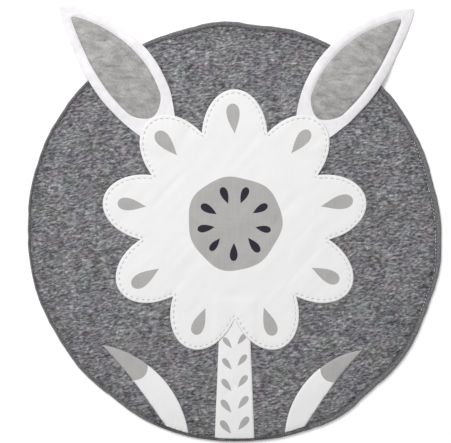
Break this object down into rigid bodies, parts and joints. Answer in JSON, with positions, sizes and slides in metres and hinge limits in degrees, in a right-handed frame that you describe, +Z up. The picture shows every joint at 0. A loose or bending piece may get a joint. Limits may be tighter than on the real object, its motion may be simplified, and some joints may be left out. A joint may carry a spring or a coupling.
{
  "type": "play mat",
  "caption": "Round padded play mat with a bound rim, a cotton flower sewn on its face and stuffed leaf flaps that reach past the rim.",
  "frame": {"origin": "centre of the round pad, at its underside", "axes": "+Z up out of the mat's face; +Y in the plane of the mat, towards the edge between the two flaps"},
  "size_m": [0.8835, 0.9308, 0.0205],
  "materials": {
    "marl_knit": "dark grey marl knit, soft and matt",
    "binding_tape": "charcoal cotton tape, matt",
    "white_cotton": "white plain-weave cotton, matt",
    "grey_plush": "short light grey plush, brushed"
  },
  "bodies": {
    "root": {"pad": "marl_knit", "binding": "binding_tape", "flower": "white_cotton", "stem": "white_cotton", "blade_left": "white_cotton", "blade_right": "white_cotton", "leaf_left": "white_cotton", "leaf_right": "white_cotton", "leaf_left_inset": "grey_plush", "leaf_right_inset": "grey_plush"}
  },
  "joints": []
}
